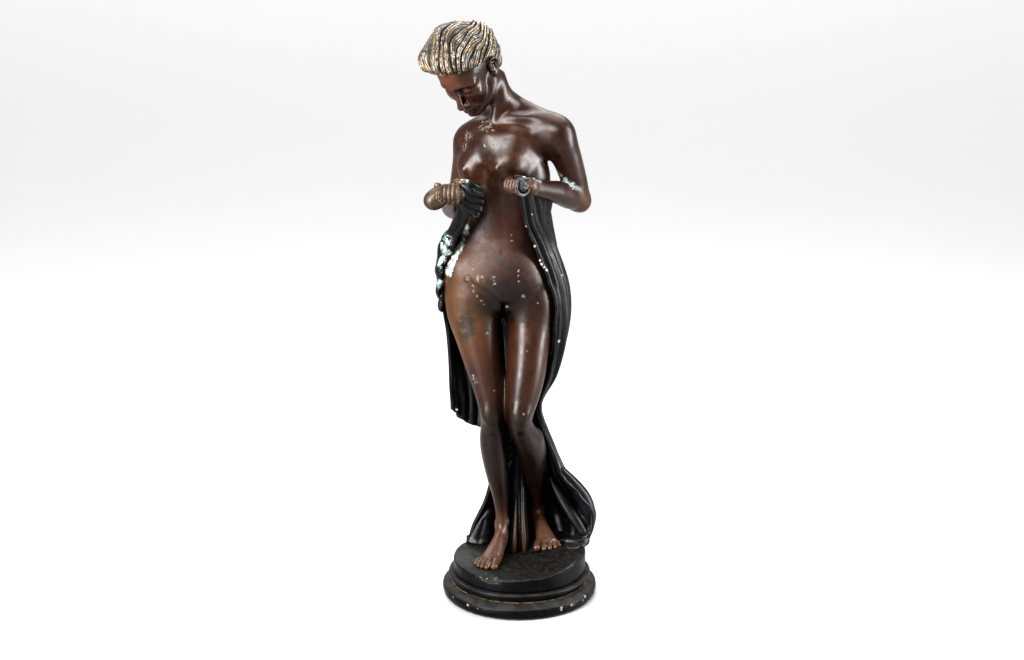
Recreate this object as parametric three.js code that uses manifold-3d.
// A bronze statuette of a standing draped woman on a round turned base.
// Millimetres, +Z up. The origin is the centre of the felt's underside, and the figure faces -Y.
// The figure is an assembly of castings that plug together with round spigots, and two studs through its feet
// hold it to the base. "Left" and "right" in a node's name are the figure's own left and right: her left is towards +X.
import * as THREE from "three";
import { mergeVertices } from "three/addons/utils/BufferGeometryUtils.js";
import Module from "manifold-3d";

const wasm = await Module();
wasm.setup();

// ---- Driving dimensions ----
const JOINT_GAP = 0.4; // clearance where two castings meet
const WALL = 4.5; // wall of the hollow figure casting
const SHEET = 4; // thickness of the cast drapery
const ROUND = 40; // facets round a turned base piece
const FELT = { radius: 79, thick: 1.6 };
const PLINTH = { radius: 82, top: 16.5, recess: 62, neck: 68 };
const COLLAR = { radius: 75.4, bottom: 20.6, top: 25 };
const TERRACE = { radius: 70.3, bottom: COLLAR.top + 0.3, top: 40, rise: 8 };
const STUD = { radius: 3, clearance: 0.4, sink: 14 };
const NUT = { acrossFlats: 10, thick: 5 };
const WASHER = { outer: 8, thick: 1.2 };
const SPIGOT = { length: 9, radius: 5, wristRadius: 3, clearance: 0.4 };
const CHEST_YAW = -22; // the ribcage turns to her right
const HEAD = { at: [-51, -22, 549], yaw: -33, pitch: 46, roll: -4 };

// ---- Small helpers ----
const vec = (p) => new THREE.Vector3(p[0], p[1], p[2]);
const radians = THREE.MathUtils.degToRad;

// Roll about Y, then pitch about X, then yaw about Z, in degrees.
function turned(yaw = 0, pitch = 0, roll = 0) {
  const euler = new THREE.Euler(radians(pitch), radians(roll), radians(yaw), "ZXY");
  return new THREE.Matrix4().makeRotationFromEuler(euler);
}

// A closed geometry as a manifold-3d solid.
function solid(geometry) {
  const g = geometry.clone();
  g.deleteAttribute("normal");
  g.deleteAttribute("uv");
  const merged = mergeVertices(g, 1e-3);
  return new wasm.Manifold(
    new wasm.Mesh({
      numProp: 3,
      vertProperties: merged.attributes.position.array,
      triVerts: new Uint32Array(merged.index.array),
    }),
  );
}

// The same, with the faces turned round when the geometry's rows run the other way.
function outward(geometry) {
  const s = solid(geometry);
  if (s.volume() > 0) return s;
  const index = geometry.index.array.slice();
  for (let i = 0; i < index.length; i += 3) [index[i], index[i + 1]] = [index[i + 1], index[i]];
  return solid(geometry.clone().setIndex(new THREE.BufferAttribute(index, 1)));
}

const union = (solids) => solids.reduce((a, b) => a.add(b));

// The largest body of a solid, so that a cut leaves no loose chips.
function largest(s) {
  return s.decompose().sort((a, b) => b.volume() - a.volume())[0];
}

// An ellipsoid. grow adds to every radius.
function ball(at, radii, { rotation = turned(), grow = 0, around = 20 } = {}) {
  const [rx, ry, rz] = radii.map((r) => r + grow);
  const g = new THREE.SphereGeometry(1, around, around / 2);
  g.scale(rx, ry, rz);
  g.applyMatrix4(rotation);
  g.translate(...at);
  return solid(g);
}

// Catmull-Rom through rows of numbers, at a parameter from 0 to the last row.
function splineAt(rows, s) {
  const i = Math.min(Math.floor(s), rows.length - 2);
  const t = s - i;
  const pick = (k) => {
    if (k < 0) return rows[0].map((v, n) => 2 * v - rows[1][n]);
    if (k >= rows.length) return rows[k - 1].map((v, n) => 2 * v - rows[k - 2][n]);
    return rows[k];
  };
  const [a, b, c, d] = [i - 1, i, i + 1, i + 2].map(pick);
  return b.map(
    (_, n) =>
      0.5 *
      (2 * b[n] +
        (c[n] - a[n]) * t +
        (2 * a[n] - 5 * b[n] + 4 * c[n] - d[n]) * t * t +
        (3 * b[n] - a[n] - 3 * c[n] + d[n]) * t * t * t),
  );
}

// A limb with round ends through stations [x, y, z, half width, half depth]. It is a sphere whose rows of
// vertices are moved to the stations, so it is closed. side is the direction of the half width.
function limb(stations, { side = [1, 0, 0], grow = 0, around = 20, perStation = 1 } = {}) {
  const capRows = 2;
  const steps = (stations.length - 1) * perStation;
  const rows = steps + 2 * capRows;
  const g = new THREE.SphereGeometry(1, around, rows);
  const position = g.attributes.position;
  for (let row = 0; row <= rows; row++) {
    const step = THREE.MathUtils.clamp(row - capRows, 0, steps);
    const s = step / perStation;
    const station = splineAt(stations, s);
    const before = vec(splineAt(stations, Math.max(s - 0.5, 0)));
    const after = vec(splineAt(stations, Math.min(s + 0.5, stations.length - 1)));
    const along = after.sub(before).normalize();
    const wide = vec(side);
    wide.addScaledVector(along, -along.dot(wide)).normalize();
    const deep = new THREE.Vector3().crossVectors(along, wide);
    const [a, b] = [station[3] + grow, station[4] + grow];
    const over = row - capRows - step; // rows past an end, negative at the start
    const tilt = (Math.abs(over) / capRows) * (Math.PI / 2);
    const past = Math.sign(over) * Math.sin(tilt) * Math.min(a, b);
    for (let column = 0; column <= around; column++) {
      const angle = (column / around) * 2 * Math.PI;
      const p = vec(station)
        .addScaledVector(wide, Math.cos(tilt) * a * Math.cos(angle))
        .addScaledVector(deep, Math.cos(tilt) * b * Math.sin(angle))
        .addScaledVector(along, past);
      position.setXYZ(row * (around + 1) + column, p.x, p.y, p.z);
    }
  }
  return outward(g);
}

// A cast sheet through a grid of points, thick along its own normal: a flat box bent onto the grid.
// grow adds to its faces and to its edges.
function sheet(grid, { across, down, thick = SHEET, grow = 0 }) {
  const g = new THREE.BoxGeometry(1, 1, 1, across, down, 1);
  const position = g.attributes.position;
  const at = (u, v) => {
    const column = grid.map((row) => splineAt(row, u * (row.length - 1)));
    return vec(splineAt(column, v * (grid.length - 1)));
  };
  for (let i = 0; i < position.count; i++) {
    const [u, v, w] = [position.getX(i) + 0.5, 0.5 - position.getY(i), position.getZ(i)];
    const e = 1e-3;
    const du = at(Math.min(u + e, 1), v).sub(at(Math.max(u - e, 0), v));
    const dv = at(u, Math.min(v + e, 1)).sub(at(u, Math.max(v - e, 0)));
    const normal = new THREE.Vector3().crossVectors(du, dv).normalize();
    const p = at(u, v).addScaledVector(normal, w * (thick + 2 * grow));
    if (u === 0 || u === 1) p.addScaledVector(du.normalize(), (2 * u - 1) * grow);
    if (v === 0 || v === 1) p.addScaledVector(dv.normalize(), (2 * v - 1) * grow);
    position.setXYZ(i, p.x, p.y, p.z);
  }
  return outward(g);
}

// A piece turned about Z from a closed profile of [radius, z] points.
function turnedGeometry(profile, around = ROUND) {
  const points = profile.map(([r, z]) => new THREE.Vector2(r, z));
  return new THREE.LatheGeometry(points, around).rotateX(Math.PI / 2);
}
const lathe = (profile) => outward(turnedGeometry(profile));

// A round bar from one point to another.
function bar(from, to, radius, around = 16) {
  const axis = vec(to).sub(vec(from));
  const g = new THREE.CylinderGeometry(radius, radius, axis.length(), around);
  g.applyQuaternion(
    new THREE.Quaternion().setFromUnitVectors(new THREE.Vector3(0, 1, 0), axis.clone().normalize()),
  );
  const middle = vec(from).addScaledVector(axis, 0.5);
  g.translate(middle.x, middle.y, middle.z);
  return solid(g);
}

// Everything on one side of a plane: a large block that starts at the point and runs along the normal.
function halfSpace(at, normal, reach = 1200) {
  const n = vec(normal).normalize();
  const g = new THREE.BoxGeometry(reach, reach, reach);
  g.translate(0, 0, reach / 2);
  g.applyQuaternion(new THREE.Quaternion().setFromUnitVectors(new THREE.Vector3(0, 0, 1), n));
  g.translate(...at);
  return solid(g);
}

// A point moved along a direction.
function along(at, direction, distance) {
  const p = vec(at).addScaledVector(vec(direction).normalize(), distance);
  return [p.x, p.y, p.z];
}

// ---- The figure: stations [x, y, z, half width, half depth] ----
const torsoLine = [
  [-20, 6, 318, 50, 32],
  [-21, 2, 338, 52, 34],
  [-21, 0, 356, 47, 31.5],
  [-20.5, 1, 372, 41, 28],
  [-20, 2, 386, 38.5, 26.5],
  [-18, 3, 402, 39.5, 27.5],
  [-15.5, 4, 420, 41, 30],
  [-14, 4, 440, 43, 32],
  [-13.5, 4, 458, 45, 32],
  [-12, 4, 476, 46, 28],
  [-11, 4, 492, 40, 20],
];
const rightLegLine = [
  [-47, 2, 322, 27, 30],
  [-46, 0, 300, 27, 29],
  [-43, -3, 280, 23, 27],
  [-38.5, -6, 258, 20, 24],
  [-32, -10, 228, 16.5, 20],
  [-28.5, -12, 206, 14, 17],
  [-27.5, -9, 190, 13, 15.5],
  [-27.5, -3, 168, 14, 17],
  [-26, 1, 150, 13.5, 16.5],
  [-23.5, 5, 128, 11.5, 14],
  [-20.5, 9, 104, 8.5, 10.5],
  [-19, 12, 86, 7.3, 9.5],
  [-18.5, 13, 74, 8, 10.5],
];
const leftLegLine = [
  [13, 3, 316, 26, 30],
  [11, -1, 292, 24, 28],
  [9, -8, 268, 21.5, 26],
  [7, -14, 247, 20, 24],
  [4, -19, 227, 18, 21.5],
  [0.5, -23, 206, 14.5, 17.5],
  [0.5, -20, 192, 12.5, 15.5],
  [5, -12, 178, 13.2, 16],
  [10, -4, 165, 14.2, 16.5],
  [13.5, 7, 148, 13, 15.5],
  [15, 17, 130, 11, 13],
  [16, 27, 113, 9, 10.5],
  [17.5, 37, 96, 7.3, 9],
  [19.5, 45, 80, 7.5, 9.5],
];
const rightFootLine = [
  [-16, 20, 54, 9, 14],
  [-19, 8, 56, 9.5, 18],
  [-24, -8, 51, 11, 12],
  [-30, -24, 46, 13, 8.5],
  [-34, -37, 43.5, 11, 5.8],
];
const leftFootLine = [
  [18, 55, 66, 8.5, 11],
  [20, 44, 67, 9, 13],
  [24, 28, 61, 10, 11.5],
  [28, 12, 53.5, 12.5, 9],
  [30.5, 1, 50.5, 11, 6],
];
const neckLine = [
  [-10, 3, 494, 18, 16],
  [-14, -1, 514, 15.5, 15],
  [-22, -7, 529, 14.5, 14.5],
  [-34, -14, 544, 14.5, 15],
];
const leftShoulderLine = [
  [-12, 4, 512, 14, 12],
  [14, -4, 503, 12, 11],
  [34, -11, 492, 13, 14],
];
const rightShoulderLine = [
  [-14, 6, 508, 13, 12],
  [-32, 14, 497, 12, 11],
  [-46, 19, 484, 13, 14],
];
const leftArmLine = [
  [39, -13, 484, 17, 17],
  [46, -6, 466, 14.5, 15],
  [53, 4, 445, 13, 14],
  [58, 13, 427, 12, 13],
  [60, 17, 418, 12, 12],
];
const leftForearmLine = [
  [60, 17, 418, 12, 12],
  [50, 3, 424, 13, 12.5],
  [38, -16, 430, 11.5, 11.5],
  [26, -34, 435, 9.5, 9],
  [17, -47, 438, 8, 7],
];
const rightArmLine = [
  [-50, 20, 472, 16.5, 17],
  [-54, 26, 455, 14, 14.5],
  [-59, 33, 430, 13, 13.5],
  [-65, 38, 410, 12, 12],
];
const rightForearmLine = [
  [-66, 38, 407, 12, 12],
  [-67, 20, 411, 13, 12.5],
  [-65.5, -4, 419, 11, 11],
  [-64, -26, 427, 9, 9],
  [-63, -42, 431, 8, 7.5],
];
// The fists: each holds the cloth, which runs along clothAxis through the four curled fingers.
const leftFist = { at: [-1, -60, 443], clothAxis: [-0.9, -0.35, 0.1], radius: 12, fingerPitch: 5.6 };
const rightFist = { at: [-64, -59, 435], clothAxis: [1, 0.1, 0.1], radius: 12, fingerPitch: 4.9 };

// Joints between castings: a point and the direction that leads away from the body.
const neckJoint = { at: [-19, -4, 524], out: [-0.4, -0.35, 0.85] };
const leftArmJoint = { at: [48, -3, 460], out: [0.32, 0.45, -0.84] };
const rightArmJoint = { at: [-55, 27, 450], out: [-0.22, 0.28, -0.93] };
const leftWristJoint = { at: [17, -47, 438], out: [-0.56, -0.81, 0.16] };
const rightWristJoint = { at: [-63, -44, 431], out: [0.03, -0.98, 0.18] };

// A point in the ribcage's own frame, which is turned about Z.
function chest(toHerLeft, back, z) {
  const p = new THREE.Vector3(toHerLeft, back, 0).applyMatrix4(turned(CHEST_YAW));
  return [p.x - 13, p.y + 4, z];
}

// The trunk, neck and legs as one solid form. grow offsets its surface.
function trunkForm(grow = 0) {
  const breast = (x, z, yaw) =>
    ball(chest(x, -23, z), [19.5, 20, 19.5], { rotation: turned(CHEST_YAW + yaw, 8), grow, around: 14 });
  return union([
    limb(torsoLine, { grow, around: 24 }),
    limb(rightLegLine, { grow, around: 14 }),
    limb(leftLegLine, { grow, around: 14 }),
    limb(rightFootLine, { grow, around: 12 }),
    limb(leftFootLine, { grow, around: 12 }),
    limb(neckLine, { grow, around: 14 }),
    limb(leftShoulderLine, { grow, around: 12 }),
    limb(rightShoulderLine, { grow, around: 12 }),
    breast(-20.5, 455, -12),
    breast(20.5, 463, 12),
    ball([-42, 20, 322], [25, 22, 27], { grow, around: 14 }),
    ball([3, 22, 315], [25, 22, 27], { grow, around: 14 }),
  ]);
}
const leftArmForm = (grow = 0) =>
  union([leftArmLine, leftForearmLine].map((line) => limb(line, { grow, around: 12 })));
const rightArmForm = (grow = 0) =>
  union([rightArmLine, rightForearmLine].map((line) => limb(line, { grow, around: 12 })));

// A hand: four curled fingers side by side along the cloth, and the wrist behind them.
function handForm({ at, clothAxis, radius, fingerPitch }, wrist, grow = 0) {
  const yaw = THREE.MathUtils.radToDeg(Math.atan2(clothAxis[1], clothAxis[0]));
  const finger = (n) =>
    ball(along(at, clothAxis, n * fingerPitch), [4.6, radius, radius], { rotation: turned(yaw), grow, around: 12 });
  const wristLine = bar(along(wrist.at, wrist.out, -1), at, 8 + grow, 12);
  return union([...[-1.5, -0.5, 0.5, 1.5].map(finger), wristLine]);
}

// The head's own frame: X to her left, -Y out of the face, +Z through the crown.
const headFrame = turned(HEAD.yaw, HEAD.pitch, HEAD.roll);
function headPoint(x, y, z) {
  const p = new THREE.Vector3(x, y, z).applyMatrix4(headFrame);
  return [p.x + HEAD.at[0], p.y + HEAD.at[1], p.z + HEAD.at[2]];
}
const headBall = (at, radii, grow = 0, around = 20) =>
  ball(headPoint(...at), radii, { rotation: headFrame, grow, around });

function headForm(grow = 0) {
  return union([
    headBall([0, 4, 9], [26, 32, 28], grow, 16),
    headBall([0, -9, -8], [20.5, 20, 27], grow, 14),
    headBall([0, -14, -27], [12, 13, 10], grow, 10),
    headBall([0, -28, -8], [4, 6, 8], grow, 8),
    headBall([26, 4, -1], [3, 6.5, 9], grow, 8),
    headBall([-26, 4, -1], [3, 6.5, 9], grow, 8),
  ]);
}

// The hair is full at the front and sides and rolled up off the neck.
function hairForm() {
  return union([
    headBall([0, 7, 16], [36, 37, 31], 0, 20),
    headBall([-2, -12, 35], [29, 20, 13], 0, 18),
    headBall([0, 32, 2], [24, 14, 22], 0, 16),
  ]);
}

// ---- Drapery: grids of points, rows from the top down, columns from her left round the back ----
const mainClothGrid = [
  [[-3, -58, 434], [9, -47, 430], [22, -24, 424], [31, 12, 412], [-12, 44, 396], [-56, 34, 388], [-72, 4, 384]],
  [[4, -42, 405], [15, -33, 401], [29, -4, 397], [31, 28, 386], [-14, 46, 370], [-60, 38, 364], [-76, 10, 366]],
  [[13, -27, 380], [24, -18, 376], [36, 4, 372], [35, 36, 354], [-16, 54, 338], [-62, 47, 338], [-78, 16, 345]],
  [[26, -17, 336], [38, -10, 333], [48, 11, 328], [41, 46, 316], [-16, 56, 302], [-58, 50, 300], [-72, 27, 308]],
  [[32, -15, 290], [41, -6, 288], [49, 13, 286], [41, 43, 274], [-12, 50, 260], [-48, 44, 258], [-62, 26, 264]],
  [[29, -6, 242], [34, 3, 240], [37, 16, 236], [28, 36, 230], [-6, 40, 225], [-34, 36, 222], [-46, 26, 222]],
  [[20, 4, 202], [21, 12, 200], [20, 22, 198], [16, 34, 196], [-4, 38, 194], [-18, 36, 192], [-30, 26, 190]],
  [[30, 16, 160], [34, 24, 158], [32, 34, 155], [20, 42, 152], [-2, 42, 150], [-16, 38, 150], [-26, 28, 150]],
  [[52, 18, 112], [56, 30, 108], [49, 44, 104], [26, 54, 100], [-4, 50, 100], [-22, 44, 99], [-32, 32, 97]],
  [[80, 17, 82], [77, 35, 76], [58, 56, 70], [28, 68, 66], [-8, 64, 62], [-32, 55, 60], [-46, 34, 58]],
  [[68, 8, 44], [61, 32, 43], [48, 50, 43], [24, 62, 41], [-8, 63, 38], [-34, 54, 37], [-52, 36, 37]],
];
const gatheredFallGrid = [
  [[-47, -56, 432], [-54, -50, 430], [-60, -42, 426]],
  [[-50, -44, 412], [-57, -40, 411], [-63, -30, 410]],
  [[-56, -28, 396], [-63, -26, 394], [-69, -18, 394]],
  [[-62, -18, 376], [-71, -15, 376], [-77, -4, 378]],
  [[-70, -10, 350], [-77, -3, 348], [-79, 10, 346]],
  [[-76, -4, 322], [-79, 6, 320], [-77, 18, 320]],
  [[-76, 2, 304], [-77, 12, 303], [-74, 22, 303]],
];
const hangingPanelGrid = [
  [[-76, 18, 301], [-75, 33, 301], [-66, 48, 300], [-48, 57, 299]],
  [[-74, 20, 282], [-73, 34, 282], [-63, 48, 281], [-46, 54, 280]],
  [[-72, 22, 250], [-70, 33, 249], [-60, 44, 248], [-42, 49, 247]],
  [[-71, 24, 216], [-68, 33, 213], [-57, 41, 208], [-38, 45, 204]],
  [[-71, 25, 196], [-65, 31, 184], [-54, 38, 174], [-40, 43, 168]],
];
const bundleLine = [
  [-40, -54, 440, 7, 7],
  [-44, -50, 426, 9, 7],
  [-50, -42, 408, 7, 6],
];
const tailLine = [
  [-74, -62, 436, 8, 8],
  [-82, -65, 433, 10.5, 10],
  [-86, -65, 430, 9.5, 9.5],
];
const centreFoldLine = [
  [-3, 38, 176, 5, 5],
  [-2, 37, 130, 7, 14],
  [0, 36, 84, 8, 23],
  [0.5, 36, 30, 9, 26],
];

// ---- The base ----
// The terrace's top is modelled ground that rises under her left foot.
function groundHeight(x, y) {
  return TERRACE.top + TERRACE.rise * THREE.MathUtils.smoothstep(x + 0.45 * y, -12, 45);
}

function terraceForm() {
  const { radius, bottom, top } = TERRACE;
  const rim = [[0, bottom], [radius, bottom], [radius, (bottom + top) / 2], [radius, top - 1.5]];
  const ground = [1 - 1.5 / radius, 0.8, 0.6, 0.4, 0.2, 0].map((share) => [radius * share, top]);
  const g = turnedGeometry([...rim, ...ground]);
  const position = g.attributes.position;
  for (let i = 0; i < position.count; i++) {
    const [x, y, z] = [position.getX(i), position.getY(i), position.getZ(i)];
    if (z > top - 2) position.setZ(i, z + groundHeight(x, y) - top);
  }
  return outward(g);
}

// ---- Assembly ----
const group = new THREE.Group();
const patina = {
  skin: { color: 0x5a2f1c, roughness: 0.35, metalness: 0.6 },
  drape: { color: 0x1c1b1c, roughness: 0.4, metalness: 0.5 },
  hair: { color: 0x4f463a, roughness: 0.42, metalness: 0.7 },
  gold: { color: 0x6b4a2a, roughness: 0.4, metalness: 0.7 },
  base: { color: 0x191817, roughness: 0.4, metalness: 0.5 },
  steel: { color: 0x8d8f92, roughness: 0.35, metalness: 0.9 },
  felt: { color: 0x1f2a22, roughness: 0.95, metalness: 0 },
};

function place(name, s, finish) {
  const mesh = s.getMesh();
  const g = new THREE.BufferGeometry();
  g.setAttribute("position", new THREE.BufferAttribute(mesh.vertProperties, 3));
  g.setIndex(new THREE.BufferAttribute(mesh.triVerts, 1));
  g.computeVertexNormals();
  const part = new THREE.Mesh(g, new THREE.MeshStandardMaterial(finish));
  part.name = name;
  group.add(part);
}

// The two halves of a form at a joint, with the joint's gap between them.
const outerHalf = (form, { at, out }) => form.intersect(halfSpace(along(at, out, JOINT_GAP / 2), out));
const innerHalf = (form, { at, out }) =>
  form.intersect(halfSpace(along(at, out, -JOINT_GAP / 2), out.map((v) => -v)));

// The outer casting's round spigot, and the socket for it in the inner casting.
const spigot = ({ at, out }, radius) =>
  bar(along(at, out, -SPIGOT.length), along(at, out, 2), radius);
const socket = ({ at, out }, radius) =>
  bar(along(at, out, -SPIGOT.length - SPIGOT.clearance), along(at, out, 2), radius + SPIGOT.clearance);

// Studs stand in the soles of her feet and pass down through the base.
const studs = [
  { name: "right", at: [-22, 0], top: 56 },
  { name: "left", at: [27, 16], top: 57 },
];
const studBottom = FELT.thick + 3;
const studHoles = union(
  studs.map(({ at: [x, y], top }) =>
    bar([x, y, FELT.thick], [x, y, top + 1], STUD.radius + STUD.clearance),
  ),
);

// The base, from the table up
place("felt_pad", lathe([[0, 0], [FELT.radius, 0], [FELT.radius, FELT.thick], [0, FELT.thick]]), patina.felt);
const plinthFoot = FELT.thick + 0.3;
const plinthCeiling = 12.5;
const plinth = lathe([
  [PLINTH.recess, plinthFoot],
  [PLINTH.radius - 2, plinthFoot],
  [PLINTH.radius - 0.6, 4.5],
  [PLINTH.radius, 8],
  [PLINTH.radius - 0.5, 11.5],
  [PLINTH.radius - 2.2, 12.8],
  [PLINTH.radius - 8, PLINTH.top - 0.5],
  [PLINTH.radius - 9, PLINTH.top],
  [PLINTH.neck + 1.5, PLINTH.top],
  [PLINTH.neck, COLLAR.bottom - 0.3],
  [0, COLLAR.bottom - 0.3],
  [0, plinthCeiling],
  [PLINTH.recess - 3, plinthCeiling],
  [PLINTH.recess, plinthCeiling - 3],
  [PLINTH.recess, plinthFoot],
]);
place("plinth", plinth.subtract(studHoles), patina.base);
const collar = lathe([
  [0, COLLAR.bottom],
  [COLLAR.radius - 2, COLLAR.bottom],
  [COLLAR.radius - 0.5, COLLAR.bottom + 1],
  [COLLAR.radius, (COLLAR.bottom + COLLAR.top) / 2],
  [COLLAR.radius - 0.5, COLLAR.top - 1],
  [COLLAR.radius - 2, COLLAR.top],
  [0, COLLAR.top],
]);
place("collar", collar.subtract(studHoles), patina.base);
const terrace = terraceForm();
place("terrace", terrace.subtract(studHoles), patina.base);
const ground = terrace.translate([0, 0, 0.3]);
for (const { name, at: [x, y], top } of studs) {
  place(`${name}_stud`, bar([x, y, studBottom], [x, y, top], STUD.radius), patina.steel);
  const washerTop = plinthCeiling - 0.2;
  const bore = bar([x, y, 0], [x, y, 20], STUD.radius + 0.3);
  const washer = bar([x, y, washerTop - WASHER.thick], [x, y, washerTop], WASHER.outer, 24).subtract(bore);
  place(`${name}_washer`, washer, patina.steel);
  const nutTop = washerTop - WASHER.thick - 0.2;
  const nutRadius = NUT.acrossFlats / Math.sqrt(3);
  place(`${name}_nut`, bar([x, y, nutTop - NUT.thick], [x, y, nutTop], nutRadius, 6).subtract(bore), patina.steel);
}

// The figure
const cavity = union([
  limb(torsoLine, { grow: -WALL, around: 14 }),
  limb(rightLegLine.slice(0, 6), { grow: -WALL, around: 10 }),
  limb(leftLegLine.slice(0, 6), { grow: -WALL, around: 10 }),
  bar(along(neckJoint.at, neckJoint.out, -40), along(neckJoint.at, neckJoint.out, 3), 7),
]);
const body = union([
  innerHalf(trunkForm(), neckJoint),
  innerHalf(limb(leftArmLine, { around: 12 }), leftArmJoint),
  innerHalf(limb(rightArmLine, { around: 12 }), rightArmJoint),
])
  .subtract(cavity)
  .subtract(socket(leftArmJoint, SPIGOT.radius))
  .subtract(socket(rightArmJoint, SPIGOT.radius))
  .subtract(ground)
  .subtract(studHoles);
place("body", largest(body), patina.skin);

function placeArm(name, form, shoulder, wrist, fist) {
  const arm = outerHalf(form, shoulder)
    .subtract(trunkForm(JOINT_GAP))
    .add(spigot(shoulder, SPIGOT.radius))
    .subtract(halfSpace(along(wrist.at, wrist.out, -JOINT_GAP / 2), wrist.out))
    .subtract(socket(wrist, SPIGOT.wristRadius));
  place(`${name}_arm`, largest(arm), patina.skin);
  const hand = outerHalf(handForm(fist, wrist), wrist).add(spigot(wrist, SPIGOT.wristRadius));
  place(`${name}_hand`, largest(hand), patina.gold);
}
placeArm("left", leftArmForm(), leftArmJoint, leftWristJoint, leftFist);
placeArm("right", rightArmForm(), rightArmJoint, rightWristJoint, rightFist);

const neckSpigot = bar(along(neckJoint.at, neckJoint.out, -SPIGOT.length), along(neckJoint.at, neckJoint.out, 2), 6.6);
const head = outerHalf(limb(neckLine, { around: 14 }), neckJoint)
  .add(headForm())
  .subtract(innerHalf(trunkForm(JOINT_GAP), neckJoint))
  .intersect(halfSpace(along(neckJoint.at, neckJoint.out, JOINT_GAP / 2), neckJoint.out))
  .add(neckSpigot);
place("head", largest(head), patina.skin);

// The hairline runs from the forehead back to the nape.
const belowHairline = new THREE.Vector3(0, -0.48, -0.88).applyMatrix4(headFrame);
const hair = hairForm()
  .subtract(headForm(JOINT_GAP))
  .subtract(limb(neckLine, { grow: JOINT_GAP, around: 14 }))
  .subtract(halfSpace(headPoint(0, -30, 23), [belowHairline.x, belowHairline.y, belowHairline.z]));
place("hair", largest(hair), patina.hair);

// The drapery, cut clear of the figure and of the other lengths of cloth
const obstacles = union([
  trunkForm(JOINT_GAP),
  leftArmForm(JOINT_GAP),
  rightArmForm(JOINT_GAP),
  handForm(leftFist, leftWristJoint, JOINT_GAP),
  handForm(rightFist, rightWristJoint, JOINT_GAP),
  ground,
]);
const mainSheet = (grow = 0) => sheet(mainClothGrid, { across: 14, down: 20, grow });
const fallSheet = (grow = 0) => sheet(gatheredFallGrid, { across: 4, down: 12, thick: 9, grow });
const mainCloth = mainSheet().add(limb(centreFoldLine, { around: 10 })).subtract(obstacles);
place("main_cloth", largest(mainCloth), patina.drape);
const gatheredFall = fallSheet().subtract(obstacles).subtract(mainSheet(JOINT_GAP));
place("gathered_fall", largest(gatheredFall), patina.drape);
const hangingPanel = sheet(hangingPanelGrid, { across: 6, down: 8 })
  .subtract(obstacles)
  .subtract(mainSheet(JOINT_GAP))
  .subtract(fallSheet(JOINT_GAP));
place("hanging_panel", largest(hangingPanel), patina.drape);
const bundle = limb(bundleLine, { around: 12 }).subtract(obstacles).subtract(fallSheet(JOINT_GAP));
place("cloth_bundle", largest(bundle), patina.drape);
place("cloth_tail", largest(limb(tailLine, { around: 12 }).subtract(obstacles)), patina.gold);

export default group;
